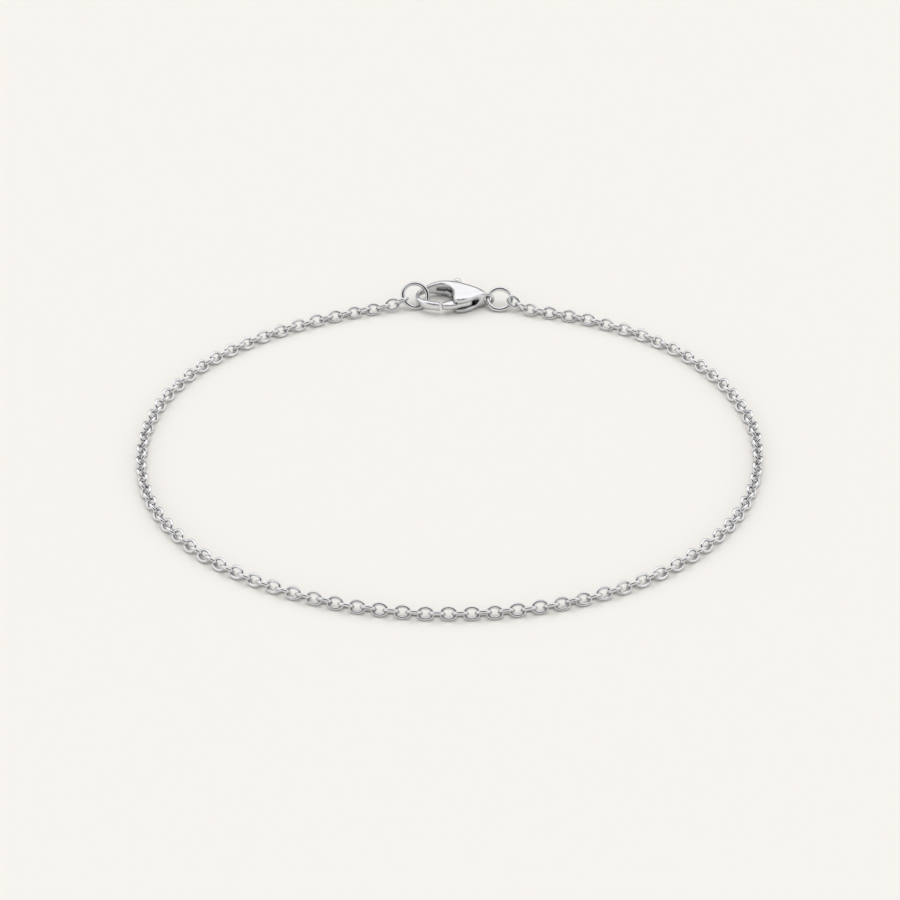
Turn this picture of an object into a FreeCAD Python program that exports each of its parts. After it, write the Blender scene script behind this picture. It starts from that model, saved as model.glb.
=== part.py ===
import FreeCAD, Part
import math
import os

from FreeCAD import Vector

# A fine chain anklet, closed by a lever clasp, lying flat on a surface. Millimetres.
# Origin: middle of the whole outline, on the surface. +Z up, the clasp at +Y.

# Chain: one tube as thick as the fine cable chain is where it lies, along its whole route
chain_width = 1.24
chain_end_gap = 0.30          # from each end of the tube to the wire of its jump ring
arc_share = 0.45              # of the shorter run beside a bend, taken up by the bend's arc

# Jump rings
ring_wire = 0.60
ring_clearance = 0.05         # least gap between a ring and the clasp
left_ring_outer = 4.14
left_ring_rise = 0.330        # the ring's centre above the clasp's mid height, its low side on the surface
left_ring_turn = 19.3         # degrees about the vertical
left_ring_x = -4.81
left_ring_y = 35.01
left_hook_angle = 12.0         # degrees below the ring's level line where the chain hooks on
right_ring_outer = 3.88
right_ring_rise = 0.0215
right_ring_turn = -4.0
right_ring_x = 6.865
right_ring_y = 34.54
right_hook_angle = 18.0

# Clasp body
clasp_y = 34.90               # the clasp's centre line in the anklet's frame
clasp_height = 2.30
cheek_thickness = 0.68        # wall above and below the lever
groove_height = 0.46          # groove along the inside of the back wall
groove_front_y = 1.30
edge_round = 0.20             # rounding of the body's long edges
least_round_edge = 0.30       # an edge that reaches less far along the clasp stays sharp
eye_outer = 1.92
eye_wire = 0.48               # thickness of the eye's round rim
eye_x = 5.22
eye_y = -0.27

# Lever and its pin
lever_clearance = 0.07        # above and below the lever
lever_swing = 25.0            # degrees from closed to open
lever_round = 0.14            # rounding of the lever's long edges
pivot_x = 2.40
pivot_y = -0.30
boss_radius = 0.85
boss_clearance = 0.10         # from the boss to where the slot starts to close
slot_tip_low = 0.12           # the slot's closing point, above the clasp's mid height
slot_tip_high = 0.22
pin_radius = 0.40
pin_running = 0.04            # radial clearance of the lever on its pin
pin_seat = 0.02               # radial and end clearance of the pin in the cheeks
pin_socket = 0.34             # depth of the blind socket in each cheek
knob_radius = 0.60
knob_x = 1.04
knob_y = 4.37
neck_width = 0.62
neck_height = 0.60
neck_clearance = 0.12
neck_slot_reach = 3.90        # from the pivot, out through the back wall

# Search for a place where a ring clears the clasp, used only when a changed size takes its room away
search_step = 0.08
search_steps = 8
search_spokes = 8

cut_reach = 6.0               # half the size of a tool body that has to pass right through the clasp

# Worked out from the sizes above
mid_z = clasp_height / 2.0
slot_height = clasp_height - 2.0 * cheek_thickness
lever_height = slot_height - 2.0 * lever_clearance
chain_z = chain_width / 2.0

# The chain's route between its two ends, left end first
route_middle = [
    (-8.30, 33.30, 0.86), (-10.60, 32.65, chain_z), (-14.65, 31.25, chain_z), (-20.90, 28.30, chain_z),
    (-28.45, 23.10, chain_z), (-34.60, 16.05, chain_z), (-38.60, 7.20, chain_z), (-39.90, -2.70, chain_z),
    (-38.70, -12.70, chain_z), (-34.90, -21.40, chain_z), (-28.90, -28.65, chain_z),
    (-21.05, -34.15, chain_z), (-12.10, -37.85, chain_z), (-2.40, -39.46, chain_z),
    (7.35, -38.95, chain_z), (16.90, -36.15, chain_z), (25.30, -31.35, chain_z), (32.15, -24.70, chain_z),
    (37.05, -16.45, chain_z), (39.60, -6.75, chain_z), (39.60, 3.20, chain_z), (36.75, 12.40, chain_z),
    (32.20, 20.15, chain_z), (25.75, 26.20, chain_z), (18.25, 30.20, chain_z), (13.30, 31.70, chain_z),
    (10.50, 32.45, 0.82),
]

# Outlines of the clasp from above, measured from its centre line, +X towards the eye
outer_back = [
    (4.95, 0.05), (4.55, 0.50), (4.00, 1.02), (2.77, 1.80), (1.40, 2.55), (0.00, 3.10), (-1.40, 3.30),
    (-2.77, 2.97), (-3.75, 2.25), (-4.50, 1.30), (-4.80, 0.10), (-4.45, -1.20), (-3.46, -2.13),
    (-2.60, -2.47), (-1.40, -2.75),
]
inner_hook = [
    (-1.40, -1.95), (-2.45, -1.72), (-3.40, -1.30), (-4.05, -0.60), (-4.30, 0.20), (-4.10, 1.15),
    (-3.30, 1.95), (-1.80, 2.40), (-0.60, 2.30), (0.05, 1.55), (0.35, 0.20), (0.65, -2.10),
]
front_edge = [(0.65, -2.10), (1.10, -2.36), (1.70, -2.30), (2.80, -1.80), (4.00, -0.90), (4.95, -0.58)]
slot_back = [(-1.20, 1.80), (0.20, 1.80), (1.20, 1.55), (2.60, 0.85), (3.60, 0.20), (4.10, -0.30)]
groove_back = [(-1.90, 2.40), (-1.40, 2.75), (-0.20, 2.65), (0.60, 2.30)]
lever_front = [(-0.95, -2.65), (0.60, -2.52), (1.60, -2.14), (2.60, -1.68), (3.10, -1.22), (3.15, -0.60)]
lever_inner = [(-1.15, -1.95), (-0.40, -1.42), (0.60, -1.00), (1.30, -0.45), (1.70, 0.10)]

# The clasp's height along it and across its hook, as shares of its full height
height_left = [
    (-5.20, 0.34), (-4.20, 0.38), (-3.20, 0.50), (-2.20, 0.68), (-0.80, 0.87), (0.40, 0.965), (1.40, 1.0),
]
height_right = [(2.60, 1.0), (3.60, 0.9739), (4.60, 0.8870), (5.40, 0.7826)]
height_across = [
    (-3.00, 0.3826), (-2.40, 0.4609), (-1.20, 0.5217), (0.30, 0.5913), (1.30, 0.7826), (2.00, 1.0261),
    (3.60, 1.1304),
]
hook_limit_x = -0.60
hook_end_slope = 0.02
eye_end_slope = -0.1625


def ring_centre_radius(outer):
    return outer / 2.0 - ring_wire / 2.0


def ring_frame(outer, rise, turn, x, y):
    """Centre of a jump ring that touches the surface, and its two directions: level and rising."""
    z = mid_z + rise
    t = math.asin((z - ring_wire / 2.0) / ring_centre_radius(outer))
    a = math.radians(turn)
    level = Vector(math.cos(a), math.sin(a), 0.0)
    rising = Vector(-math.sin(a) * math.cos(t), math.cos(a) * math.cos(t), math.sin(t))
    return Vector(x, y, z), level, rising


def jump_ring(outer, rise, turn, x, y):
    centre, level, rising = ring_frame(outer, rise, turn, x, y)
    return Part.makeTorus(ring_centre_radius(outer), ring_wire / 2.0, centre, level.cross(rising))


def settled_ring(body, outer, rise, turn, x, y):
    """The ring's values as given if it clears the clasp there, or else at the nearest place that does."""
    best = None
    for step in range(search_steps):
        reach = step * search_step
        spokes = 1 if step == 0 else search_spokes
        for rise_shift in (0.0, search_step, -search_step):
            for k in range(spokes):
                a = 2.0 * math.pi * k / spokes
                tried = (outer, rise + rise_shift, turn, x + reach * math.cos(a), y + reach * math.sin(a))
                gap = jump_ring(*tried).distToShape(body)[0]
                if gap >= ring_clearance:
                    return tried
                if best is None or gap > best[0]:
                    best = (gap, tried)
    return best[1]


def chain_end(side, hook_angle, outer, rise, turn, x, y):
    """Where the chain tube stops, just clear of a ring's wire. side is -1 left, +1 right."""
    centre, level, rising = ring_frame(outer, rise, turn, x, y)
    a = math.radians(hook_angle)
    reach = outer / 2.0 + chain_end_gap
    return centre + level * (side * math.cos(a) * reach) - rising * (math.sin(a) * reach)


def chain_path(points):
    """Straight runs joined by tangent arcs, each as large as its two runs allow."""
    edges = []
    radii = []
    start = points[0]
    for before, corner, after in zip(points, points[1:], points[2:]):
        back = (before - corner).normalize()
        ahead = (after - corner).normalize()
        half_turn = (math.pi - back.getAngle(ahead)) / 2.0
        setback = arc_share * min(before.distanceToPoint(corner), after.distanceToPoint(corner))
        radius = setback / math.tan(half_turn)
        inward = (back + ahead).normalize()
        arc_start = corner + back * setback
        arc_middle = corner + inward * (radius / math.cos(half_turn) - radius)
        arc_end = corner + ahead * setback
        edges.append(Part.LineSegment(start, arc_start).toShape())
        edges.append(Part.Arc(arc_start, arc_middle, arc_end).toShape())
        radii.append(radius)
        start = arc_end
    edges.append(Part.LineSegment(start, points[-1]).toShape())
    return Part.Wire(edges), radii


def chain_tube(points):
    path, radii = chain_path(points)
    section = Part.Wire(Part.makeCircle(chain_width / 2.0, points[0], points[1] - points[0]))
    tube = path.makePipeShell([section], True, False)
    expected = math.pi * (chain_width / 2.0) ** 2 * path.Length
    print("chain ends", points[0], points[-1])
    print("chain radii", " ".join("%.1f" % radius for radius in radii))
    print("chain length %.1f volume %.2f section x length %.2f" % (path.Length, tube.Volume, expected))
    return tube


def curve(points):
    spline = Part.BSplineCurve()
    spline.interpolate([Vector(x, y, 0.0) for x, y in points])
    return spline.toShape()


def polyline(points):
    corners = [Vector(x, y, 0.0) for x, y in points]
    return [Part.makeLine(a, b) for a, b in zip(corners, corners[1:])]


def plate(edges, low, high):
    """A plate of one closed outline, from height low to height high."""
    wire = Part.Wire(Part.__sortEdges__(edges))
    solid = Part.Face(wire).extrude(Vector(0.0, 0.0, high - low))
    solid.translate(Vector(0.0, 0.0, low))
    return solid


def half_heights(shares):
    return [(at, share * mid_z) for at, share in shares]


def closing_line(point):
    """The upright line from a profile's top to its mirror below."""
    return Part.makeLine(Vector(point[0], point[1], 0.0), Vector(point[0], -point[1], 0.0))


def height_along():
    """The clasp's side profile: flat above and below the pivot, lower at the hook and the eye."""
    flat = Vector(1.0, 0.0, 0.0)
    left = Part.BSplineCurve()
    left_heights = half_heights(height_left)
    right_heights = half_heights(height_right)
    left.interpolate(Points=[Vector(x, h, 0.0) for x, h in left_heights],
                     InitialTangent=Vector(1.0, hook_end_slope, 0.0).normalize(), FinalTangent=flat)
    right = Part.BSplineCurve()
    right.interpolate(Points=[Vector(x, h, 0.0) for x, h in right_heights],
                      InitialTangent=flat, FinalTangent=Vector(1.0, eye_end_slope, 0.0).normalize())
    top = [left.toShape(), right.toShape()] + polyline([left_heights[-1], right_heights[0]])
    bottom = [edge.mirror(Vector(0.0, 0.0, 0.0), Vector(0.0, 1.0, 0.0)) for edge in top]
    ends = [closing_line(left_heights[0]), closing_line(right_heights[-1])]
    profile = plate(top + bottom + ends, -cut_reach, cut_reach)
    profile.rotate(Vector(0.0, 0.0, 0.0), Vector(1.0, 0.0, 0.0), 90.0)
    profile.translate(Vector(0.0, 0.0, mid_z))
    return profile


def height_across_hook():
    """The hook's profile from front to back: low at the tip, full height at the back wall."""
    heights = half_heights(height_across)
    top = [curve(heights)]
    bottom = [edge.mirror(Vector(0.0, 0.0, 0.0), Vector(0.0, 1.0, 0.0)) for edge in top]
    ends = [closing_line(heights[0]), closing_line(heights[-1])]
    profile = plate(top + bottom + ends, -cut_reach, hook_limit_x)
    profile.rotate(Vector(0.0, 0.0, 0.0), Vector(1.0, 1.0, 1.0), 120.0)
    profile.translate(Vector(0.0, 0.0, mid_z))
    return profile


def eye():
    """Upright round loop at the end of the clasp."""
    return Part.makeTorus((eye_outer - eye_wire) / 2.0, eye_wire / 2.0, Vector(eye_x, eye_y, mid_z),
                          Vector(0.0, 1.0, 0.0))


def eye_hole():
    front = Vector(eye_x, eye_y - cut_reach, mid_z)
    return Part.makeCylinder(eye_outer / 2.0 - eye_wire, 2.0 * cut_reach, front, Vector(0.0, 1.0, 0.0))


def lever_slot():
    """Room for the lever between the cheeks, closing to a point beside the eye."""
    half = slot_height / 2.0
    first, last = slot_back[0], slot_back[-1]
    sides = polyline([last, (last[0], -cut_reach), (first[0], -cut_reach), first])
    room = plate([curve(slot_back)] + sides, mid_z - half, mid_z + half)
    closing_x = pivot_x + boss_radius + boss_clearance
    closing = polyline([(-cut_reach, -half), (closing_x, -half), (last[0], slot_tip_low),
                        (last[0], slot_tip_high), (closing_x, half), (-cut_reach, half), (-cut_reach, -half)])
    profile = plate(closing, -cut_reach, cut_reach)
    profile.rotate(Vector(0.0, 0.0, 0.0), Vector(1.0, 0.0, 0.0), 90.0)
    profile.translate(Vector(0.0, 0.0, mid_z))
    return room.common(profile)


def back_groove():
    first, last = groove_back[0], groove_back[-1]
    sides = polyline([last, (last[0], groove_front_y), (first[0], groove_front_y), first])
    return plate([curve(groove_back)] + sides, mid_z - groove_height / 2.0, mid_z + groove_height / 2.0)


def neck_direction(opened):
    """Unit vector from the pivot to the knob with the lever opened by so many degrees."""
    along = Vector(knob_x - pivot_x, knob_y - pivot_y, 0.0).normalize()
    return FreeCAD.Rotation(Vector(0.0, 0.0, -1.0), opened).multVec(along)


def neck_slot():
    """Slot through the back wall, as wide as the lever's neck sweeps."""
    side = neck_width / 2.0 + neck_clearance
    pivot = Vector(pivot_x, pivot_y, 0.0)
    closed = neck_direction(0.0)
    opened = neck_direction(lever_swing)
    left = Vector(-closed.y, closed.x, 0.0) * side
    right = Vector(opened.y, -opened.x, 0.0) * side
    corners = [pivot + left, pivot + closed * neck_slot_reach + left]
    corners += [pivot + opened * neck_slot_reach + right, pivot + right, pivot + left]
    half = neck_height / 2.0 + neck_clearance
    return plate(polyline([(p.x, p.y) for p in corners]), mid_z - half, mid_z + half)


def pin_cylinder(radius, end_clearance):
    half = slot_height / 2.0 + pin_socket - end_clearance
    return Part.makeCylinder(radius, 2.0 * half, Vector(pivot_x, pivot_y, mid_z - half))


def eye_side_space():
    """Everything on the eye's side of where the hook's own profile ends."""
    size = 2.0 * cut_reach
    return Part.makeBox(size, size, size, Vector(hook_limit_x, -cut_reach, -cut_reach))


def rounded(solid, radius):
    """The solid with its edges rounded, apart from the short ones at its ends."""
    long_edges = [edge for edge in solid.Edges if edge.BoundBox.XLength > least_round_edge]
    return solid.makeFillet(radius, long_edges)


def clasp_body():
    neck_end = [outer_back[0], front_edge[-1]]
    outline = [curve(outer_back), curve(inner_hook), curve(front_edge)]
    outline += polyline([outer_back[-1], inner_hook[0]]) + polyline(neck_end)
    blank = plate(outline, 0.0, clasp_height).common(height_along())
    hook_side = blank.common(height_across_hook())
    eye_side = blank.common(eye_side_space())
    blank = hook_side.fuse(eye_side).removeSplitter()
    body = rounded(blank, edge_round).cut(eye_hole()).fuse(eye()).removeSplitter()
    for cut in (lever_slot(), back_groove(), neck_slot(), pin_cylinder(pin_radius + pin_seat, 0.0)):
        body = body.cut(cut)
    return body


def clasp_lever():
    low = mid_z - lever_height / 2.0
    high = mid_z + lever_height / 2.0
    sides = polyline([lever_front[0], lever_inner[0]]) + polyline([lever_front[-1], lever_inner[-1]])
    arm = rounded(plate([curve(lever_front), curve(lever_inner)] + sides, low, high), lever_round)
    boss = Part.makeCylinder(boss_radius, lever_height, Vector(pivot_x, pivot_y, low))
    reach = math.hypot(knob_x - pivot_x, knob_y - pivot_y)
    neck = Part.makeBox(reach, neck_width, neck_height, Vector(0.0, -neck_width / 2.0, -neck_height / 2.0))
    neck.rotate(Vector(0.0, 0.0, 0.0), Vector(0.0, 0.0, 1.0),
                math.degrees(math.atan2(knob_y - pivot_y, knob_x - pivot_x)))
    neck.translate(Vector(pivot_x, pivot_y, mid_z))
    knob = Part.makeSphere(knob_radius, Vector(knob_x, knob_y, mid_z))
    bore = Part.makeCylinder(pin_radius + pin_running, 2.0 * cut_reach, Vector(pivot_x, pivot_y, -cut_reach))
    return arm.fuse(boss).fuse(neck).fuse(knob).removeSplitter().cut(bore)


def write(name, shape):
    print(name, shape.ShapeType, len(shape.Solids), "valid", shape.isValid(), "volume %.3f" % shape.Volume)
    shape.exportStep("parts/%s.step" % name)


def in_place(shape):
    shape.translate(Vector(0.0, clasp_y, 0.0))
    return shape


os.makedirs("parts", exist_ok=True)
body = in_place(clasp_body())
left_ring = settled_ring(body, left_ring_outer, left_ring_rise, left_ring_turn,
                         left_ring_x, left_ring_y)
right_ring = settled_ring(body, right_ring_outer, right_ring_rise, right_ring_turn,
                          right_ring_x, right_ring_y)
left_end = chain_end(-1.0, left_hook_angle, *left_ring)
right_end = chain_end(1.0, right_hook_angle, *right_ring)
route = [left_end] + [Vector(*point) for point in route_middle] + [right_end]
write("chain", chain_tube(route))
write("jump_ring_left", jump_ring(*left_ring))
write("jump_ring_right", jump_ring(*right_ring))
write("clasp_body", body)
write("clasp_lever", in_place(clasp_lever()))
write("clasp_pin", in_place(pin_cylinder(pin_radius, pin_seat)))
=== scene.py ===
"""Chain anklet: a fine cable chain closed by a lobster clasp, lying on a pale floor."""
import math
import random

import bpy
from mathutils import Matrix, Vector


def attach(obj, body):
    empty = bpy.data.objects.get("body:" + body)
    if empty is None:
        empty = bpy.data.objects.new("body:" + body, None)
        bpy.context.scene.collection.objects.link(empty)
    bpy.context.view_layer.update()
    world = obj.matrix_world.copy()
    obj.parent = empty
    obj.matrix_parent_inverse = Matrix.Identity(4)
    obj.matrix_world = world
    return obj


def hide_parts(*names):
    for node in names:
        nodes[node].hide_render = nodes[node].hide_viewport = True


MM = 0.001

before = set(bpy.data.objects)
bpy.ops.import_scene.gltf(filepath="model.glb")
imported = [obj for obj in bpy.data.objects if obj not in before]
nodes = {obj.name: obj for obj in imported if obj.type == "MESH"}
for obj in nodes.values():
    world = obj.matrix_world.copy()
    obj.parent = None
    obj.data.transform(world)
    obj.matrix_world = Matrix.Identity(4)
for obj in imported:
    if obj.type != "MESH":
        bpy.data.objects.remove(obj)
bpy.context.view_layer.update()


# ---------------------------------------------------------------- camera
CAMERA_TARGET = Vector((0.0, -3.10, 0.62)) * MM
CAMERA_DISTANCE = 418.14 * MM
CAMERA_ELEVATION = math.radians(32.8)
# Lens and sensor in millimetres, near and far limits in metres.
CAMERA_LENS = 130.05
CAMERA_SENSOR = 36.0
CAMERA_NEAR = 0.01
CAMERA_FAR = 20.0


def make_camera():
    """The camera looks down at the anklet from the front, with the clasp at the back."""
    data = bpy.data.cameras.new("camera")
    data.sensor_width = CAMERA_SENSOR
    data.lens = CAMERA_LENS
    data.clip_start = CAMERA_NEAR
    data.clip_end = CAMERA_FAR
    camera = bpy.data.objects.new("camera", data)
    bpy.context.scene.collection.objects.link(camera)
    back = Vector((0.0, -math.cos(CAMERA_ELEVATION), math.sin(CAMERA_ELEVATION)))
    camera.location = CAMERA_TARGET + back * CAMERA_DISTANCE
    camera.rotation_euler = (math.pi / 2 - CAMERA_ELEVATION, 0.0, 0.0)
    bpy.context.scene.camera = camera


make_camera()


# ---------------------------------------------------------------- chain
# Millimetres, from the left jump ring round the front to the right one.
CHAIN_ROUTE = [
    (-6.877, 33.897, 1.151),
    (-8.30, 33.30, 0.86),
    (-10.60, 32.65, 0.62),
    (-14.65, 31.25, 0.62),
    (-20.90, 28.30, 0.62),
    (-28.45, 23.10, 0.62),
    (-34.60, 16.05, 0.62),
    (-38.60, 7.20, 0.62),
    (-39.90, -2.70, 0.62),
    (-38.70, -12.70, 0.62),
    (-34.90, -21.40, 0.62),
    (-28.90, -28.65, 0.62),
    (-21.05, -34.15, 0.62),
    (-12.10, -37.85, 0.62),
    (-2.40, -39.46, 0.62),
    (7.35, -38.95, 0.62),
    (16.90, -36.15, 0.62),
    (25.30, -31.35, 0.62),
    (32.15, -24.70, 0.62),
    (37.05, -16.45, 0.62),
    (39.60, -6.75, 0.62),
    (39.60, 3.20, 0.62),
    (36.75, 12.40, 0.62),
    (32.20, 20.15, 0.62),
    (25.75, 26.20, 0.62),
    (18.25, 30.20, 0.62),
    (13.30, 31.70, 0.62),
    (10.50, 32.45, 0.82),
    (8.949, 33.806, 0.804),
]

# Sizes in millimetres, turns in degrees.
LINK_COUNT = 164
LINK_WIRE_RADIUS = 0.205
LINK_HALF_LENGTH = 0.897
LINK_HALF_WIDTH = 0.695
LINK_OVERHANG = 0.21
LINK_STEPS = 28
LINK_TUBE_STEPS = 12
LINK_ROLL = 45.0
# The last links turn to meet the right jump ring, and the very last one tips up to go round its wire.
LAST_ALONG = (-0.778, 0.380, 0.500)
LAST_ROLLS = {163: 24.0, 162: -58.0, 161: 38.0, 160: -50.0}
ROLL_JITTER = 5.0
YAW_JITTER = 1.5
JITTER_SEED = 7
ROUTE_ORDER = 3
ROUTE_STEPS = 16
DIRECTION_REACH = 0.6


def route_points():
    """Points along the chain's smooth line, in millimetres."""
    curve = bpy.data.curves.new("route", "CURVE")
    curve.dimensions = "3D"
    curve.resolution_u = ROUTE_STEPS
    spline = curve.splines.new("NURBS")
    spline.points.add(len(CHAIN_ROUTE) - 1)
    for point, place in zip(spline.points, CHAIN_ROUTE):
        point.co = (*(Vector(place) * MM), 1.0)
    spline.order_u = ROUTE_ORDER
    spline.use_endpoint_u = True
    holder = bpy.data.objects.new("route", curve)
    bpy.context.scene.collection.objects.link(holder)
    mesh = bpy.data.meshes.new_from_object(holder)
    points = [v.co / MM for v in mesh.vertices]
    bpy.data.meshes.remove(mesh)
    bpy.data.objects.remove(holder)
    bpy.data.curves.remove(curve)
    return points


class Line:
    """A polyline measured by its length, and straight beyond its two ends."""

    def __init__(self, points):
        self.points = points
        self.marks = [0.0]
        for a, b in zip(points, points[1:]):
            self.marks.append(self.marks[-1] + (b - a).length)
        self.length = self.marks[-1]

    def at(self, s):
        if s <= 0.0:
            a, b = self.points[0], self.points[1]
            return a + (b - a).normalized() * s
        if s >= self.length:
            a, b = self.points[-2], self.points[-1]
            return b + (b - a).normalized() * (s - self.length)
        low, high = 0, len(self.marks) - 1
        while high - low > 1:
            middle = (low + high) // 2
            if self.marks[middle] <= s:
                low = middle
            else:
                high = middle
        share = (s - self.marks[low]) / (self.marks[high] - self.marks[low])
        return self.points[low].lerp(self.points[high], share)

    def direction(self, s):
        return (self.at(s + DIRECTION_REACH) - self.at(s - DIRECTION_REACH)).normalized()


def link_outline():
    """Centre line of one oval link as (place, outward direction) pairs, long axis on X."""
    outline = []
    for k in range(LINK_STEPS):
        a = -2 * math.pi * k / LINK_STEPS
        place = Vector((math.cos(a) * LINK_HALF_LENGTH, math.sin(a) * LINK_HALF_WIDTH, 0.0))
        out = Vector((math.cos(a) / LINK_HALF_LENGTH, math.sin(a) / LINK_HALF_WIDTH, 0.0))
        outline.append((place, out.normalized()))
    return outline


def link_place(i, line, s, draw):
    """Centre of link i and the matrix that turns it, a little unevenly, to its own side."""
    centre = line.at(s)
    along = line.direction(s)
    if i == LINK_COUNT - 1:
        near = centre - along * LINK_HALF_LENGTH
        along = Vector(LAST_ALONG).normalized()
        centre = near + along * LINK_HALF_LENGTH
    outward = along.cross(Vector((0, 0, 1))).normalized()
    up = outward.cross(along)
    side = 1.0 if i % 2 else -1.0
    roll = LAST_ROLLS.get(i, side * LINK_ROLL + draw.uniform(-ROLL_JITTER, ROLL_JITTER))
    yaw = math.radians(draw.uniform(-YAW_JITTER, YAW_JITTER))
    angle = math.radians(roll)
    wide = outward * math.cos(angle) + up * math.sin(angle)
    normal = along.cross(wide)
    return centre, Matrix((along, wide, normal)).transposed() @ Matrix.Rotation(yaw, 3, "Z")


def link_skin(outline, centre, turn):
    """Points round the link's wire, lifted where any would be below the floor."""
    around = []
    for place, out in outline:
        for k in range(LINK_TUBE_STEPS):
            a = 2 * math.pi * k / LINK_TUBE_STEPS
            p = place + (out * math.cos(a) + Vector((0, 0, math.sin(a)))) * LINK_WIRE_RADIUS
            around.append(centre + turn @ p)
    lift = Vector((0.0, 0.0, max(0.0, -min(p.z for p in around))))
    return [p + lift for p in around]


def link_faces(start):
    """Faces of the link whose first point has this number."""
    faces = []
    for j in range(LINK_STEPS):
        ahead = (j + 1) % LINK_STEPS
        for k in range(LINK_TUBE_STEPS):
            beside = (k + 1) % LINK_TUBE_STEPS
            a = start + j * LINK_TUBE_STEPS + k
            b = start + j * LINK_TUBE_STEPS + beside
            c = start + ahead * LINK_TUBE_STEPS + beside
            d = start + ahead * LINK_TUBE_STEPS + k
            faces.append((a, d, c, b))
    return faces


def build_links():
    """All links as one mesh, evenly spaced along the route."""
    line = Line(route_points())
    pitch = (line.length + 2 * LINK_OVERHANG) / (LINK_COUNT - 1)
    draw = random.Random(JITTER_SEED)
    outline = link_outline()
    verts, faces = [], []
    for i in range(LINK_COUNT):
        centre, turn = link_place(i, line, i * pitch - LINK_OVERHANG, draw)
        faces.extend(link_faces(len(verts)))
        verts.extend(p * MM for p in link_skin(outline, centre, turn))
    mesh = bpy.data.meshes.new("chain_links")
    mesh.from_pydata(verts, [], faces)
    mesh.update()
    mesh.shade_smooth()
    links = bpy.data.objects.new("chain_links", mesh)
    bpy.context.scene.collection.objects.link(links)
    return links


# ---------------------------------------------------------------- materials
SILVER_DARK = (0.71, 0.71, 0.725, 1.0)
SILVER_LIGHT = (0.78, 0.78, 0.795, 1.0)
CLOUD_SCALE = 900.0
CLOUD_DETAIL = 3.0
ROUGHNESS_SPREAD = 0.3
SCRATCH_SCALE = 6000.0
SCRATCH_DETAIL = 2.0
SCRATCH_STRENGTH = 0.1
SCRATCH_DEPTH = 0.01 * MM
# Painted shade: the occlusion range over which the silver's colour is darkened in hollows.
PAINTED_SHADE_FROM = 0.2
PAINTED_SHADE_TO = 0.85
RAY_SAMPLES = 8


def silver(name, roughness, edge, shade_reach, painted_shade_darkest):
    """Polished silver: cloudy roughness and tint, fine scratches, and painted shade that darkens the
    colour in hollows and where parts meet.

    edge is the radius that sharp edges are shaded with, shade_reach the reach of the painted shade,
    and painted_shade_darkest what is left of the colour where the painted shade is deepest.
    """
    material = bpy.data.materials.new(name)
    material.use_nodes = True
    tree = material.node_tree
    shader = tree.nodes["Principled BSDF"]
    shader.inputs["Metallic"].default_value = 1.0
    where = tree.nodes.new("ShaderNodeTexCoord")
    cloud = tree.nodes.new("ShaderNodeTexNoise")
    cloud.inputs["Scale"].default_value = CLOUD_SCALE
    cloud.inputs["Detail"].default_value = CLOUD_DETAIL
    tree.links.new(where.outputs["Object"], cloud.inputs["Vector"])
    spread = tree.nodes.new("ShaderNodeMapRange")
    spread.inputs["To Min"].default_value = roughness * (1.0 - ROUGHNESS_SPREAD)
    spread.inputs["To Max"].default_value = roughness * (1.0 + ROUGHNESS_SPREAD)
    tree.links.new(cloud.outputs["Fac"], spread.inputs["Value"])
    tree.links.new(spread.outputs["Result"], shader.inputs["Roughness"])
    tint = tree.nodes.new("ShaderNodeMix")
    tint.data_type = "RGBA"
    tint.inputs["A"].default_value = SILVER_DARK
    tint.inputs["B"].default_value = SILVER_LIGHT
    tree.links.new(cloud.outputs["Fac"], tint.inputs["Factor"])
    # Painted shade: ambient occlusion darkens the base colour in hollows, creases and between touching
    # parts, where shade falls.
    occlusion = tree.nodes.new("ShaderNodeAmbientOcclusion")
    occlusion.samples = RAY_SAMPLES
    occlusion.inputs["Distance"].default_value = shade_reach
    shade = tree.nodes.new("ShaderNodeMapRange")
    shade.inputs["From Min"].default_value = PAINTED_SHADE_FROM
    shade.inputs["From Max"].default_value = PAINTED_SHADE_TO
    shade.inputs["To Min"].default_value = painted_shade_darkest
    tree.links.new(occlusion.outputs["AO"], shade.inputs["Value"])
    painted_shade_colour = tree.nodes.new("ShaderNodeVectorMath")
    painted_shade_colour.operation = "SCALE"
    tree.links.new(tint.outputs["Result"], painted_shade_colour.inputs["Vector"])
    tree.links.new(shade.outputs["Result"], painted_shade_colour.inputs["Scale"])
    tree.links.new(painted_shade_colour.outputs["Vector"], shader.inputs["Base Color"])
    fine = tree.nodes.new("ShaderNodeTexNoise")
    fine.inputs["Scale"].default_value = SCRATCH_SCALE
    fine.inputs["Detail"].default_value = SCRATCH_DETAIL
    tree.links.new(where.outputs["Object"], fine.inputs["Vector"])
    bump = tree.nodes.new("ShaderNodeBump")
    bump.inputs["Strength"].default_value = SCRATCH_STRENGTH
    bump.inputs["Distance"].default_value = SCRATCH_DEPTH
    tree.links.new(fine.outputs["Fac"], bump.inputs["Height"])
    if edge > 0.0:
        worn = tree.nodes.new("ShaderNodeBevel")
        worn.samples = RAY_SAMPLES
        worn.inputs["Radius"].default_value = edge
        tree.links.new(worn.outputs["Normal"], bump.inputs["Normal"])
    tree.links.new(bump.outputs["Normal"], shader.inputs["Normal"])
    return material


def dress(thing, material):
    """Give the object this one material."""
    thing.data.materials.clear()
    thing.data.materials.append(material)


links = build_links()
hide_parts("chain")
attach(links, "root")

# Each silver gets painted shade in its hollows: how far it reaches and how dark it gets.
dress(links, silver("silver_links", 0.07, edge=0.0, shade_reach=0.5 * MM, painted_shade_darkest=0.8))
ring_silver = silver("silver_rings", 0.07, edge=0.0, shade_reach=0.6 * MM, painted_shade_darkest=0.8)
clasp_silver = silver("silver_clasp", 0.08, edge=0.6 * MM, shade_reach=2.0 * MM, painted_shade_darkest=0.45)
for name in ("jump_ring_left", "jump_ring_right"):
    dress(nodes[name], ring_silver)
for name in ("clasp_body", "clasp_lever", "clasp_pin"):
    dress(nodes[name], clasp_silver)


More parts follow.
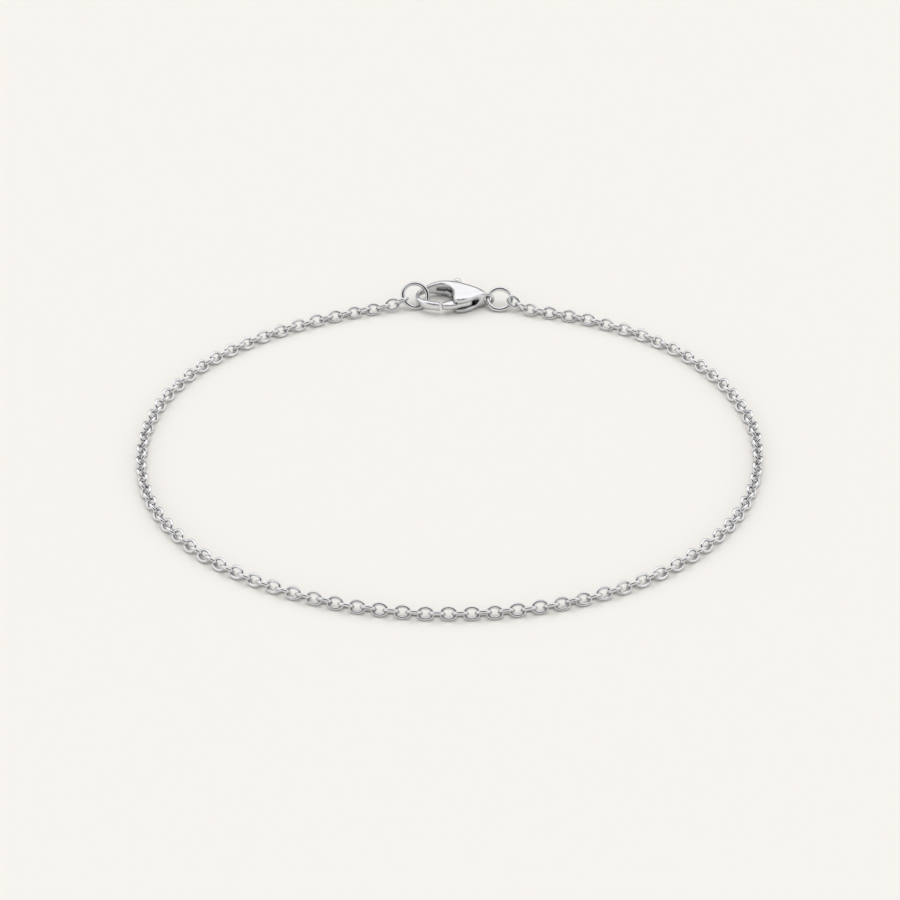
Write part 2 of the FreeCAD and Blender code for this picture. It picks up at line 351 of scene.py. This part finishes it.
# ---------------------------------------------------------------- floor and light
# (angle, level): degrees from the front horizon over the object to the back horizon.
SKY = [(0.0, 0.42), (24.0, 0.42), (33.0, 0.0), (82.0, 0.0), (89.0, 0.82), (125.0, 0.88), (140.0, 0.84),
       (150.0, 0.80), (158.0, 0.10), (180.0, 0.10)]
# The level at the two sides, and how far sideways a direction leans where the fade starts and ends.
SIDE_LEVEL = 0.62
SIDE_FROM = 0.45
SIDE_TO = 0.8
WORLD_STRENGTH = 1.6
FLOOR_COLOUR = (0.750, 0.730, 0.696, 1.0)
FLOOR_HALF = 3.0
FLOOR_HEIGHT = -0.02 * MM
# (strength, width, lean): width and lean in degrees; a positive lean brings the light from the front.
SUN = (0.5, 35, -25)
FILL = (1.3, 100, 40)


def make_floor():
    """A plain matt floor just under the anklet."""
    half = FLOOR_HALF
    corners = [(-half, -half, 0), (half, -half, 0), (half, half, 0), (-half, half, 0)]
    mesh = bpy.data.meshes.new("floor")
    mesh.from_pydata(corners, [], [(0, 1, 2, 3)])
    floor = bpy.data.objects.new("floor", mesh)
    bpy.context.scene.collection.objects.link(floor)
    floor.location.z = FLOOR_HEIGHT
    material = bpy.data.materials.new("floor")
    material.use_nodes = True
    shader = material.node_tree.nodes["Principled BSDF"]
    shader.inputs["Base Color"].default_value = FLOOR_COLOUR
    shader.inputs["Roughness"].default_value = 1.0
    shader.inputs["Specular IOR Level"].default_value = 0.0
    mesh.materials.append(material)


def make_world():
    """A studio like a tunnel along X: the level follows the angle from front to back, and fades to
    one level at the two sides."""
    world = bpy.data.worlds.new("studio")
    bpy.context.scene.world = world
    world.use_nodes = True
    tree = world.node_tree
    background = tree.nodes["Background"]
    where = tree.nodes.new("ShaderNodeTexCoord")
    split = tree.nodes.new("ShaderNodeSeparateXYZ")
    tree.links.new(where.outputs["Generated"], split.inputs["Vector"])
    back = tree.nodes.new("ShaderNodeMath")
    back.operation = "MULTIPLY"
    back.inputs[1].default_value = -1.0
    tree.links.new(split.outputs["Y"], back.inputs[0])
    turn = tree.nodes.new("ShaderNodeMath")
    turn.operation = "ARCTAN2"
    tree.links.new(split.outputs["Z"], turn.inputs[0])
    tree.links.new(back.outputs["Value"], turn.inputs[1])
    share = tree.nodes.new("ShaderNodeMath")
    share.operation = "DIVIDE"
    share.inputs[1].default_value = math.pi
    tree.links.new(turn.outputs["Value"], share.inputs[0])
    ramp = tree.nodes.new("ShaderNodeValToRGB")
    tree.links.new(share.outputs["Value"], ramp.inputs["Fac"])
    elements = ramp.color_ramp.elements
    while len(elements) < len(SKY):
        elements.new(1.0)
    for element, (angle, level) in zip(elements, SKY):
        element.position = angle / 180.0
        element.color = (level, level, level, 1.0)
    across = tree.nodes.new("ShaderNodeMath")
    across.operation = "ABSOLUTE"
    tree.links.new(split.outputs["X"], across.inputs[0])
    side = tree.nodes.new("ShaderNodeMapRange")
    side.interpolation_type = "SMOOTHSTEP"
    side.inputs["From Min"].default_value = SIDE_FROM
    side.inputs["From Max"].default_value = SIDE_TO
    tree.links.new(across.outputs["Value"], side.inputs["Value"])
    blend = tree.nodes.new("ShaderNodeMix")
    blend.data_type = "RGBA"
    blend.inputs["B"].default_value = (SIDE_LEVEL, SIDE_LEVEL, SIDE_LEVEL, 1.0)
    tree.links.new(side.outputs["Result"], blend.inputs["Factor"])
    tree.links.new(ramp.outputs["Color"], blend.inputs["A"])
    tree.links.new(blend.outputs["Result"], background.inputs["Color"])
    background.inputs["Strength"].default_value = WORLD_STRENGTH


def make_light(name, strength, width, lean):
    """A soft light for the floor and the shadows on it, kept out of the silver's reflections."""
    data = bpy.data.lights.new(name, "SUN")
    data.energy = strength
    data.angle = math.radians(width)
    light = bpy.data.objects.new(name, data)
    bpy.context.scene.collection.objects.link(light)
    light.rotation_euler = (math.radians(lean), 0, 0)
    light.visible_glossy = False


make_floor()
make_world()
make_light("sun", *SUN)
make_light("fill", *FILL)
bpy.context.scene.view_settings.view_transform = "Standard"
